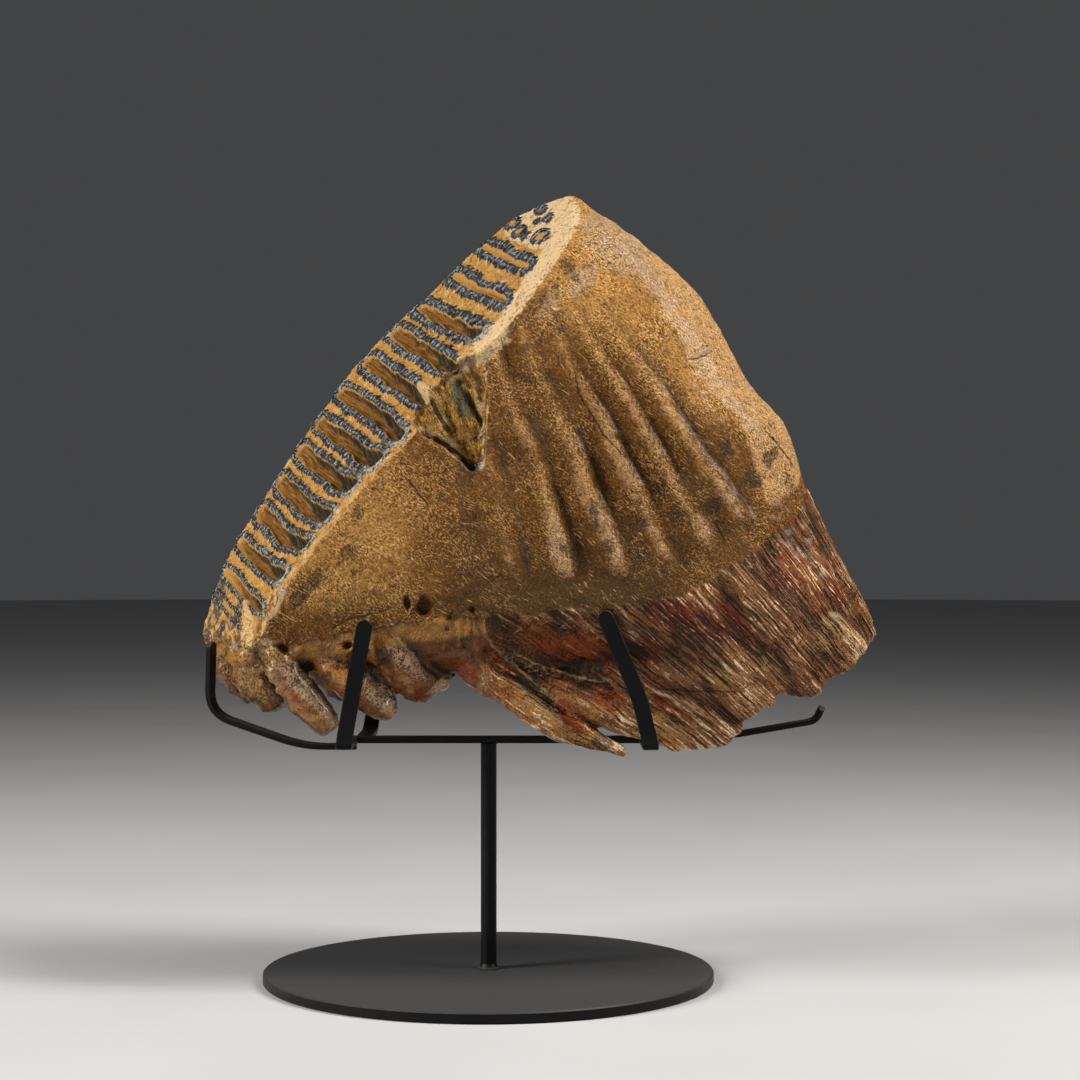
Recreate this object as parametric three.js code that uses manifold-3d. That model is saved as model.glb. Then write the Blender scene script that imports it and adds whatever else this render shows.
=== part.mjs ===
// Fossil mammoth molar resting in a bent-strip cradle on a post and round base.
// Millimetres, +Z up, +X along the tooth, +Y away from its near side.
// The origin is the centre of the base's underside.
import * as THREE from 'three';
import { mergeVertices } from 'three/addons/utils/BufferGeometryUtils.js';
import Module from 'manifold-3d';

const wasm = await Module();
wasm.setup();

// ---- Driving dimensions ----

const discDiameter = 175;
const discThickness = 4;
const discBevel = 0.5;
const postDiameter = 6.2;
const weldFlare = 1.3; // how far the weld at the post's foot spreads
const spineUnderside = 92; // height of the cradle's underside above the table
const spineThickness = 2.6;
const stripWidth = 6;
const prongThickness = 2.2;
const footBend = 5; // length either side of the corner where a prong turns up
const stripChamfer = 0.3;
const bendSteps = 6;
const tipSteps = 6;
const tipSweep = 0.47 * Math.PI; // a little short of a quarter turn, so the tip keeps a flat
const gap = 0.3; // clearance between pieces that touch

const crownBottom = 121;
const crownStep = 6; // height between the crown's rings
const crownTop = 305.2;
const endRounding = 46; // length over which the crown's hind end rounds off
const squareness = 2.4; // 2 would make the hind end an ellipse

// ---- Helpers ----

/** A smooth curve through [position, value] rows, as a function of position. */
function profile(rows) {
  const positions = rows.map((row) => row[0]);
  const values = rows.map((row) => row[1]);
  const curve = new THREE.CubicInterpolant(positions, values, 1, [0]);
  return (position) => curve.evaluate(position)[0];
}

/** Skins a closed body over rings of equal length, with a fan over the first and last ring. */
function skin(rings) {
  const count = rings[0].length;
  const points = rings.flat();
  const faces = [];
  for (let k = 0; k < rings.length - 1; k += 1) {
    for (let i = 0; i < count; i += 1) {
      const a = k * count + i;
      const b = k * count + ((i + 1) % count);
      faces.push(a, b, b + count, a, b + count, a + count);
    }
  }
  const lastRing = (rings.length - 1) * count;
  const centres = [rings[0], rings[rings.length - 1]].map((ring) => {
    const centre = new THREE.Vector3();
    ring.forEach((point) => centre.add(point));
    return centre.divideScalar(count);
  });
  points.push(...centres);
  const firstCentre = rings.length * count;
  for (let i = 0; i < count; i += 1) {
    const next = (i + 1) % count;
    faces.push(firstCentre, next, i);
    faces.push(firstCentre + 1, lastRing + i, lastRing + next);
  }
  const geometry = new THREE.BufferGeometry().setFromPoints(points);
  geometry.setIndex(signedVolume(points, faces) < 0 ? faces.reverse() : faces);
  return geometry;
}

function signedVolume(points, faces) {
  let sum = 0;
  const normal = new THREE.Vector3();
  for (let i = 0; i < faces.length; i += 3) {
    normal.crossVectors(points[faces[i + 1]], points[faces[i + 2]]);
    sum += points[faces[i]].dot(normal);
  }
  return sum / 6;
}

function toManifold(geometry) {
  const plain = geometry.clone();
  plain.deleteAttribute('normal');
  plain.deleteAttribute('uv');
  const merged = mergeVertices(plain, 1e-4);
  return new wasm.Manifold(new wasm.Mesh({
    numProp: 3,
    vertProperties: new Float32Array(merged.attributes.position.array),
    triVerts: new Uint32Array(merged.index.array),
  }));
}

function toGeometry(manifold) {
  const mesh = manifold.getMesh();
  const geometry = new THREE.BufferGeometry();
  geometry.setAttribute('position', new THREE.BufferAttribute(mesh.vertProperties, 3));
  geometry.setIndex(new THREE.BufferAttribute(mesh.triVerts, 1));
  return geometry;
}

// ---- Tooth: crown ----

// Side view, by height: where the chewing face's far and near edges and the hind end are.
const farEdge = profile([
  [121, -103], [124, -109], [129, -114], [135, -115], [145, -112.5], [157, -108.5], [173, -101],
  [182, -95], [202, -83], [222, -69.5], [235, -60.5], [255, -42.5], [277, -18.5], [289, -5.5],
  [299, 8.5], [303, 17], [305.2, 26],
]);
const nearEdge = profile([
  [121, -92], [124, -92], [135, -85], [154, -76], [168, -65], [180, -55.5], [199, -39],
  [210, -27.5], [232, -13], [253, 8.5], [276, 24.5], [290, 32.5], [299, 34], [303, 33], [305.2, 31],
]);
const hindEnd = profile([
  [121, 134], [125, 142], [131, 149], [136, 150], [147, 145], [164, 136.5], [183, 127],
  [190, 123.5], [212, 117], [218, 113.5], [228, 104], [255, 88.5], [267, 81], [287, 58.5],
  [299, 41], [303, 36], [305.2, 32.5],
]);

// Half widths, by height, and how they taper along the tooth.
const nearHalfWidth = profile([
  [121, 27], [125, 32], [135, 37], [150, 39.5], [185, 39.5], [215, 38], [245, 34.5],
  [270, 29], [282, 25], [290, 20], [299, 9], [303, 3], [305.2, -2],
]);
const farHalfWidth = profile([
  [121, 27], [125, 32], [135, 37], [150, 39], [185, 39], [215, 38], [245, 36],
  [270, 33], [290, 29], [299, 24], [303, 19], [305.2, 12],
]);
const taper = profile([[-118, 0.58], [-100, 0.69], [-80, 0.81], [-55, 0.94], [-30, 1],
  [60, 1], [110, 0.95], [152, 0.86]]);

/** One level ring of the crown: the chewing face, the near side, the hind end, the far side. */
function crownRing(height) {
  const far = farEdge(height);
  const near = nearEdge(height);
  const hind = hindEnd(height);
  const rounding = Math.min(endRounding, 0.8 * (hind - near));
  const nearY = (x) => -nearHalfWidth(height) * taper(x);
  const farY = (x) => farHalfWidth(height) * taper(x);
  const ring = [];
  const chewSteps = 9;
  for (let i = 0; i < chewSteps; i += 1) {
    const t = i / chewSteps;
    const x = THREE.MathUtils.lerp(far, near, t);
    const y = THREE.MathUtils.lerp(farY(far), nearY(near), t);
    ring.push(new THREE.Vector3(x, y, height));
  }
  const nearSteps = 9;
  for (let i = 0; i < nearSteps; i += 1) {
    const x = THREE.MathUtils.lerp(near, hind - rounding, i / nearSteps);
    ring.push(new THREE.Vector3(x, nearY(x), height));
  }
  const endSteps = 12;
  for (let i = 0; i < endSteps; i += 1) {
    const angle = (i / endSteps) * Math.PI;
    const along = Math.sin(angle) ** (2 / squareness);
    const across = Math.abs(Math.cos(angle)) ** (2 / squareness);
    const x = hind - rounding * (1 - along);
    ring.push(new THREE.Vector3(x, across * (angle < Math.PI / 2 ? nearY(x) : farY(x)), height));
  }
  const farSteps = 12;
  for (let i = 0; i < farSteps; i += 1) {
    const x = THREE.MathUtils.lerp(hind - rounding, far, i / farSteps);
    ring.push(new THREE.Vector3(x, farY(x), height));
  }
  return ring;
}

function makeCrown() {
  const heights = [crownBottom, crownBottom + 2];
  for (let height = crownBottom + 5; height <= 300; height += crownStep) {
    heights.push(height);
  }
  heights.push(303, 304.6, crownTop);
  return skin(heights.map(crownRing));
}

// ---- Tooth: roots ----

/** A tapering root: each station is [x, y, z, radius in the side view, radius across]. */
function makeRoot(stations) {
  const sides = 10;
  const centres = stations.map(([x, y, z]) => new THREE.Vector3(x, y, z));
  const across = new THREE.Vector3(0, 1, 0);
  const rings = stations.map(([, , , inPlane, depth], k) => {
    const before = centres[Math.max(k - 1, 0)];
    const after = centres[Math.min(k + 1, centres.length - 1)];
    const along = after.clone().sub(before).normalize();
    const up = new THREE.Vector3().crossVectors(along, across).normalize();
    const side = new THREE.Vector3().crossVectors(up, along);
    return Array.from({ length: sides }, (_, i) => {
      const angle = (i / sides) * 2 * Math.PI;
      return centres[k].clone()
        .addScaledVector(up, inPlane * Math.cos(angle))
        .addScaledVector(side, depth * Math.sin(angle));
    });
  });
  return skin(rings);
}

/** A root wall: a side-view outline with rounded edges, between two depths. */
function makeRootWall(outline, nearY, farY) {
  const roundness = 3;
  const shape = new THREE.Shape(outline.map(([x, z]) => new THREE.Vector2(x, z)));
  const wall = new THREE.ExtrudeGeometry(shape, {
    depth: farY - nearY - 2 * roundness,
    bevelThickness: roundness,
    bevelSize: roundness,
    bevelOffset: -roundness,
    bevelSegments: 2,
  });
  wall.rotateX(Math.PI / 2);
  wall.translate(0, farY - roundness, 0);
  return wall;
}

// Near-side fingers, from the front of the tooth backwards.
const nearRoots = [
  [[-93, -7, 131, 9, 12], [-91.5, -8, 121, 9, 11.5], [-86.5, -8, 114, 8, 10],
    [-80.5, -9, 108.5, 5.5, 7], [-76, -9, 106, 2.5, 4]],
  [[-86, -22, 133, 7, 8], [-80, -24, 124.5, 6.5, 7.5], [-72, -26, 114, 5.8, 7],
    [-64, -27.5, 104.5, 5, 5.8], [-59.5, -28, 99, 3.2, 4], [-57.8, -28, 96.5, 1.2, 1.6]],
  [[-63, -24, 126, 5, 6], [-57.5, -26.5, 119.5, 5.5, 7], [-47, -28, 114, 7.5, 8],
    [-38.5, -28.5, 108, 6, 7.5], [-35, -28, 105.3, 3, 4.5]],
  [[-44, -28, 140, 7, 8], [-37.5, -29, 130, 9, 9.5], [-30.5, -28.5, 121.5, 8.5, 9],
    [-25, -27.5, 114.5, 5.5, 7], [-22.5, -27, 110.5, 2, 3.5]],
  [[-30, -20, 125, 7, 9], [-21, -20, 119.5, 5.5, 8], [-15, -20, 115.8, 2.5, 5]],
];

// The long slanting root in the middle, and the one lying against it.
const middleRoots = [
  [[-14, -18, 134, 9, 12], [-5, -22, 125.5, 9.5, 11], [5, -24, 117.5, 8.3, 10],
    [16, -25.5, 109, 7, 9], [28, -26.5, 101, 5.6, 7.5], [38, -27, 95.9, 3.9, 6],
    [47, -27, 92.2, 2.4, 4.5], [52.3, -27, 90.5, 1.2, 2.4]],
  [[4, -20, 130, 10, 11], [18, -23, 121, 9.5, 10], [34, -24, 112, 8, 8.5],
    [46, -24, 106.3, 6.8, 7], [56, -25, 100.8, 4.2, 5], [63, -25, 97, 2, 3]],
];

// The hind root, a broad block whose lower edge ends in broken points. Its near and far
// walls reach lower than its middle, which rests on the cradle.
const hindRootTop = [[148.5, 136], [145, 143], [139, 156], [131, 173], [112, 186], [60, 172]];
const nearWallOutline = [
  [28, 150], [33, 125], [41, 115.5], [51, 108.5], [58, 101], [62, 95.8], [71.5, 91.4], [74, 92.6],
  [88.5, 93.5], [95.8, 99.3], [98.5, 104], [103, 108.5], [106.5, 109], [108.3, 114.5],
  [112, 113.7], [120.5, 110.4], [126, 112.8], [127.5, 117], [136, 121.2], [143.5, 127],
  [148.2, 131.5], ...hindRootTop,
];
const middleWallOutline = [
  [40, 150], [48, 120], [60, 103], [70, 95.8], [88, 97], [98, 103], [104, 109], [110, 114.5],
  [120, 114], [129, 118], [137, 122.5], [145, 129], ...hindRootTop,
];
const farWallOutline = [
  [30, 150], [36, 128], [50, 112], [58, 101], [66, 95.5], [76, 97], [86, 94], [93, 101],
  [101, 105], [104, 110], [112, 109.5], [118, 113], [126, 115], [136, 121.5], [144, 128],
  ...hindRootTop,
];

// Far-side roots, which mirror the near ones loosely.
const farRoots = [
  [[-103, 16, 132, 9, 9], [-102.5, 16.5, 122, 9.5, 9], [-97, 17, 113.5, 7, 8], [-91, 17, 108, 3, 4.5]],
  [[-75, 24, 134, 9, 8], [-68, 26, 123, 8, 8], [-60, 27, 112, 6, 7], [-55.5, 27, 106, 3, 4]],
  [[-50, 26, 136, 9.5, 9], [-43, 27, 124, 9, 8.5], [-35, 27, 114, 6.5, 7], [-30, 27, 108.5, 3, 4]],
  [[-20, 19, 137, 11, 12], [-5, 22, 125, 11, 11], [12, 25, 114, 8.5, 9], [28, 26, 105, 6, 7],
    [37, 26, 100.5, 3, 4]],
];

// The space that the hind root fills narrows downwards and rounds off at the hind end.
const hindReach = profile([[80, 152], [136, 152], [150, 144.5], [164, 137.5], [190, 124.5]]);
const hindHalfWidth = profile([[80, 30], [105, 34], [125, 36.5], [150, 37.5], [190, 37]]);

function makeHindSpace() {
  const start = 25;
  const startInset = 6; // how much less wide it is at its start, on each side
  const endSteps = 14;
  return skin([80, 92, 106, 122, 136, 150, 164, 177, 190].map((height) => {
    const startHalfWidth = hindHalfWidth(height) - startInset;
    const ring = [
      new THREE.Vector3(start, startHalfWidth, height),
      new THREE.Vector3(start, -startHalfWidth, height),
    ];
    for (let i = 0; i <= endSteps; i += 1) {
      const angle = (i / endSteps) * Math.PI;
      const along = Math.sin(angle) ** (2 / squareness);
      const across = -Math.sign(Math.cos(angle)) * Math.abs(Math.cos(angle)) ** (2 / squareness);
      const x = hindReach(height) - endRounding * (1 - along);
      ring.push(new THREE.Vector3(x, hindHalfWidth(height) * across, height));
    }
    return ring;
  }));
}

function makeHindRoot() {
  const [nearWall, middleWall, farWall] = [
    [nearWallOutline, -42, -11],
    [middleWallOutline, -15, 15],
    [farWallOutline, 10, 42],
  ].map(([outline, nearY, farY]) => toManifold(makeRootWall(outline, nearY, farY)));
  return nearWall.add(middleWall).add(farWall).intersect(toManifold(makeHindSpace()));
}

/** A chip broken from the near edge of the chewing face, down to a point. */
function makeChip() {
  const outline = new THREE.Shape([
    new THREE.Vector2(-29, 217), new THREE.Vector2(-25, 211), new THREE.Vector2(-15.5, 205.5),
    new THREE.Vector2(-3.5, 195.5), new THREE.Vector2(-1, 201), new THREE.Vector2(-0.5, 224),
    new THREE.Vector2(-1.5, 236), new THREE.Vector2(-6, 243), new THREE.Vector2(-40, 230),
  ]);
  const chipFloor = -31.5;
  const chip = new THREE.ExtrudeGeometry(outline, { depth: 30, bevelEnabled: false });
  chip.rotateX(Math.PI / 2);
  return chip.translate(0, chipFloor, 0);
}

function makeTooth() {
  let tooth = toManifold(makeCrown());
  [...nearRoots, ...middleRoots, ...farRoots].forEach((stations) => {
    tooth = tooth.add(toManifold(makeRoot(stations)));
  });
  tooth = tooth.add(makeHindRoot());
  return toGeometry(tooth.subtract(toManifold(makeChip())));
}

// ---- Stand ----

function makeBaseDisc() {
  const radius = discDiameter / 2;
  const outline = [
    new THREE.Vector2(0, 0),
    new THREE.Vector2(radius - discBevel, 0),
    new THREE.Vector2(radius, discBevel),
    new THREE.Vector2(radius, discThickness - discBevel),
    new THREE.Vector2(radius - discBevel, discThickness),
    new THREE.Vector2(0, discThickness),
  ];
  return new THREE.LatheGeometry(outline, 96);
}

function makePost() {
  const radius = postDiameter / 2;
  const foot = discThickness + gap;
  const outline = [
    new THREE.Vector2(0, foot),
    new THREE.Vector2(radius + weldFlare, foot),
    new THREE.Vector2(radius + 0.4 * weldFlare, foot + 0.5 * weldFlare),
    new THREE.Vector2(radius, foot + 1.4 * weldFlare),
    new THREE.Vector2(radius, spineUnderside - gap),
    new THREE.Vector2(0, spineUnderside - gap),
  ];
  return new THREE.LatheGeometry(outline, 32);
}

/** Points along a bent line. Each corner is rounded over a length of its own either side. */
function roundCorners(corners, bends) {
  const points = [corners[0]];
  bends.forEach((bend, i) => {
    const corner = corners[i + 1];
    const [before, after] = [corners[i], corners[i + 2]].map((other) => (
      other.clone().sub(corner).setLength(bend).add(corner)
    ));
    points.push(...new THREE.QuadraticBezierCurve3(before, corner, after).getPoints(bendSteps));
  });
  points.push(corners[corners.length - 1]);
  return points;
}

/** Replaces a strip's last centre by several, whose widths follow a half circle. */
function roundTip(centres, widths) {
  const tip = centres.pop();
  widths.pop();
  const back = centres[centres.length - 1].clone().sub(tip).normalize();
  for (let i = 0; i <= tipSteps; i += 1) {
    const angle = (i / tipSteps) * tipSweep;
    const inset = (stripWidth / 2) * (1 - Math.sin(angle));
    centres.push(tip.clone().addScaledVector(back, inset));
    widths.push(stripWidth * Math.cos(angle));
  }
}

/** A strip's chamfered section: eight corners, as offsets across it and through it. */
function stripSection(width, thickness) {
  const w = width / 2;
  const t = thickness / 2;
  const c = Math.min(stripChamfer, w / 2);
  return [[w, t - c], [w - c, t], [c - w, t], [-w, t - c], [-w, c - t], [c - w, -t], [w - c, -t],
    [w, c - t]];
}

/** A flat steel strip bent along its corners, as wide as it can be along `across`. */
function makeStrip({ corners, bends = [], across, thickness, rounded = false, twist = 0 }) {
  const centres = roundCorners(corners.map((corner) => new THREE.Vector3(...corner)), bends);
  const widths = centres.map(() => stripWidth);
  if (rounded) {
    roundTip(centres, widths);
  }
  return skin(centres.map((centre, k) => {
    const before = centres[Math.max(k - 1, 0)];
    const after = centres[Math.min(k + 1, centres.length - 1)];
    const along = after.clone().sub(before).normalize();
    const side = new THREE.Vector3(...across).projectOnPlane(along).normalize();
    side.applyAxisAngle(along, (twist * k) / (centres.length - 1));
    const through = new THREE.Vector3().crossVectors(along, side);
    return stripSection(widths[k], thickness).map(([u, v]) => (
      centre.clone().addScaledVector(side, u).addScaledVector(through, v)
    ));
  }));
}

const spineMiddle = spineUnderside + spineThickness / 2;
const spineFront = -57;
const spineHind = 70;
const besideSpine = stripWidth / 2 + gap;
const underSpine = spineUnderside - gap - prongThickness / 2;

const strips = {
  cradle_spine: {
    corners: [[spineFront, 0, spineMiddle], [spineHind, 0, spineMiddle]],
    across: [0, 1, 0],
    thickness: spineThickness,
  },
  left_end_prong: {
    corners: [[-51.5, 0, underSpine], [-72, 0, underSpine], [-108.8, 0, 103.5], [-108, 0, 131.5]],
    bends: [9, 9],
    across: [0, 1, 0],
    thickness: prongThickness,
    twist: THREE.MathUtils.degToRad(-20),
    rounded: true,
  },
  right_end_arm: {
    corners: [[spineHind + gap, 0, spineMiddle], [92, 0, 94.5], [127.5, 0, 100.6], [130, 0, 106.3]],
    bends: [8, 3],
    across: [0, 1, 0],
    thickness: prongThickness,
    rounded: true,
  },
  front_left_prong: {
    corners: [[-53.5, -besideSpine, spineMiddle], [-53.5, -40.2, spineMiddle], [-45.1, -39.9, 141.2]],
    bends: [footBend],
    across: [1, 0, 0],
    thickness: prongThickness,
    rounded: true,
  },
  front_right_prong: {
    corners: [[61.5, -besideSpine, spineMiddle], [61.5, -41.5, spineMiddle], [57.3, -41.3, 111.4],
      [43.5, -41.3, 144.5]],
    bends: [footBend, 7],
    across: [1, 0, 0],
    thickness: prongThickness,
    rounded: true,
  },
  back_left_prong: {
    corners: [[-49, besideSpine, spineMiddle], [-49, 40.2, spineMiddle], [-42, 40.2, 138]],
    bends: [footBend],
    across: [1, 0, 0],
    thickness: prongThickness,
    rounded: true,
  },
  back_right_prong: {
    corners: [[57, besideSpine, spineMiddle], [57, 41, spineMiddle], [54, 41, 112], [44, 41, 141]],
    bends: [footBend, 7],
    across: [1, 0, 0],
    thickness: prongThickness,
    rounded: true,
  },
};

const steel = new THREE.MeshStandardMaterial({ color: 0x17181a, roughness: 0.5, metalness: 0.6 });
const fossil = new THREE.MeshStandardMaterial({ color: 0x9a713d, roughness: 0.6, metalness: 0 });

const group = new THREE.Group();

function addPiece(name, geometry, material) {
  const mesh = new THREE.Mesh(geometry, material);
  mesh.name = name;
  group.add(mesh);
  return mesh;
}

addPiece('tooth', makeTooth(), fossil);
addPiece('base_disc', makeBaseDisc(), steel).rotation.x = Math.PI / 2;
addPiece('post', makePost(), steel).rotation.x = Math.PI / 2;
Object.entries(strips).forEach(([name, strip]) => addPiece(name, makeStrip(strip), steel));

export default group;
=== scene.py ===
import math
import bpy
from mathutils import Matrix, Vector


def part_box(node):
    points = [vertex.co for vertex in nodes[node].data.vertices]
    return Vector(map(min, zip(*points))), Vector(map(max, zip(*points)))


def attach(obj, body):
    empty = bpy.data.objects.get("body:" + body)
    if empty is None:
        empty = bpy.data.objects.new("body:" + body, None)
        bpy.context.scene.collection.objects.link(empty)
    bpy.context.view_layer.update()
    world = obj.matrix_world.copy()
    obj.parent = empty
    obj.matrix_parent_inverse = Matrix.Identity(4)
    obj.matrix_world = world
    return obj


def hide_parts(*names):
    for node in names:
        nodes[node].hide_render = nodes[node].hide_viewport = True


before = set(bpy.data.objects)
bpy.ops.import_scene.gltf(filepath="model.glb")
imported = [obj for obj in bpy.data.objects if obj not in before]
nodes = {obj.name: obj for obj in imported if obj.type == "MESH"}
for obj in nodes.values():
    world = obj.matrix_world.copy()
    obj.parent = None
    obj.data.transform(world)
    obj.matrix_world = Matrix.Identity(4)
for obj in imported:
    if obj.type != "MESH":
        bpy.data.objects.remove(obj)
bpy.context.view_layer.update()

from types import SimpleNamespace

import bmesh
import bpy
import numpy as np
from mathutils import Vector, noise
from mathutils.bvhtree import BVHTree

# The tooth's working units are millimetres: x along the tooth, y away from its near side, z up.

surface = {
    "gridSize": 1.6,        # spacing of the rebuilt surface
    "relaxPasses": 14,      # rounds off the model's facets
    "lastRelaxPasses": 2,   # once more after the cuts
    "faceCuts": 1,          # extra cuts per edge on the chewing face, the chip and the pits
    "pitReach": 8.05,       # finer this close to a pit
    "standClearance": 0.1,  # bone stays this far from the steel strips
}

chewing = {
    "normal": (-0.677, -0.436, 0.596),
    "facing": 0.78,         # how closely a point's normal follows that one on the worn face
    "lowest": 127,
    "dip": (0.5, 0.0, -0.87),  # the plates run down into the crown this way
    "bow": 0.32,            # how much lower a plate runs per mm towards the near side
    "slant": (1.16, 1.3),   # mm on the slanting face for each mm of y, and of height
    "proud": 0.8,           # how far enamel stands above the cement
    "scallop": 1.4,         # how far the rim swells round a plate's end
    # rim of the face, as (height, y)
    "nearRim": [(129, -26), (135, -29), (154, -33), (180, -37), (210, -38.3), (232, -36), (253, -33),
                (276, -27), (290, -20), (299, -9), (303, -3)],
    "nearRimX": [(129, -88), (135, -85), (154, -76), (168, -65), (180, -55.5), (199, -39), (210, -27.5),
                 (232, -13), (253, 8.5), (276, 24.5), (290, 32.5), (299, 34), (303, 33)],
    "farRim": [(129, 20), (135, 22), (157, 25), (173, 26.7), (202, 30.5), (222, 32.5), (255, 33.6),
               (277, 31.8), (289, 29.2), (299, 24), (303, 19)],
    # plates from the top down: height, upturn of the near end, half width, basin depth, enamel
    # thickness, near margin, far margin, frill
    "plates": [
        (280.6, 2.0, 4.9, 0.9, 3.5, 8.2, 1.6, 1.5),
        (268.5, 0.5, 5.5, 1.6, 3.9, 6.6, 1.4, 1.6),
        (255.8, 2.0, 5.9, 5.2, 3.5, 5.6, 1.6, 1.6),
        (245.3, 0.5, 5.9, 6.2, 3.1, 0.5, 1.4, 1.5),
        (233.9, -0.5, 6.1, 7.0, 3.0, -1.0, 1.4, 1.4),
        (221.6, -1.0, 6.2, 7.4, 2.9, 1.8, 1.5, 1.3),
        (209.5, 1.6, 6.2, 7.4, 2.8, 0.8, 1.5, 1.25),
        (198.6, 2.8, 6.2, 7.0, 2.8, 2.2, 1.2, 1.2),
        (186.8, 3.0, 6.2, 6.6, 2.7, 2.2, 1.2, 1.2),
        (175.0, 4.5, 6.1, 6.0, 2.7, 2.6, 1.0, 1.15),
        (163.2, 4.2, 5.7, 4.4, 2.6, 2.6, 1.2, 1.15),
        (152.0, 0.5, 4.8, 2.4, 2.4, 4.0, 1.2, 1.15),
        (142.6, -1.0, 3.6, 1.0, 2.1, 11.0, 1.5, 1.2),
    ],
    # the two youngest plates are still separate rings: y, height, half length, half width
    "rings": [
        (-5.7, 290.3, 6.8, 4.2), (4.2, 288.6, 3.4, 2.3), (10.8, 289.0, 5.4, 3.6),
        (20.4, 290.4, 6.2, 3.6), (11.8, 297.4, 5.0, 2.7), (1.7, 296.2, 4.4, 2.6),
        (6.2, 294.0, 3.2, 1.9),
    ],
    "ringEnamel": 2.2,
}

crown = {
    "neckLine": [(-105, 131), (-75, 133), (-50, 137), (-25, 141), (0, 143), (25, 144), (43, 146),
                 (57, 147), (74, 150), (87, 158), (95, 164), (106, 173), (117, 180), (124, 192)],
    "fanCentre": (-46, 389),                              # the ridges spread from here
    "ridgeAngles": [52, 56, 59, 62.8, 66.8, 71.2, 76, 81],  # degrees below level, one ridge apart
    "ridgeHeight": 2.7,
    "steepPart": 0.24,  # this part of each ridge drops to its crease
}

roots = {
    "fanCentre": (282, -53),  # the ribs run towards here
    "fanRadius": 200,         # and are spaced as they are this far from it
    "wrap": 0.75,             # how fast the ribs step on round the hind end, per mm
    "leftWay": (0.788, 0.616),  # on the left the ribs lie side by side this way
    "ribSize": (17.0, 80, 24),  # across, along and round
    "ribHeight": 2.0,
    "fineSize": (4.2, 30, 7),
    "fineHeight": 0.65,
}

# The chip in the near side; each pair is where it starts and where it is full
chipPlace = {
    "behind": (-36.6, -34.8),
    "left": (-34, -26),
    "right": (1, -1),
    "foot": (194, 199),
    "top": (1.5, -1.5),        # from its sloping upper edge
    "upperEdge": (239, 0.55),  # that edge's height at x = 0 and its rise per mm of x
    "box": ((-32, -99, 193), (3, -14, 246)),  # finer within this
}

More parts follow.
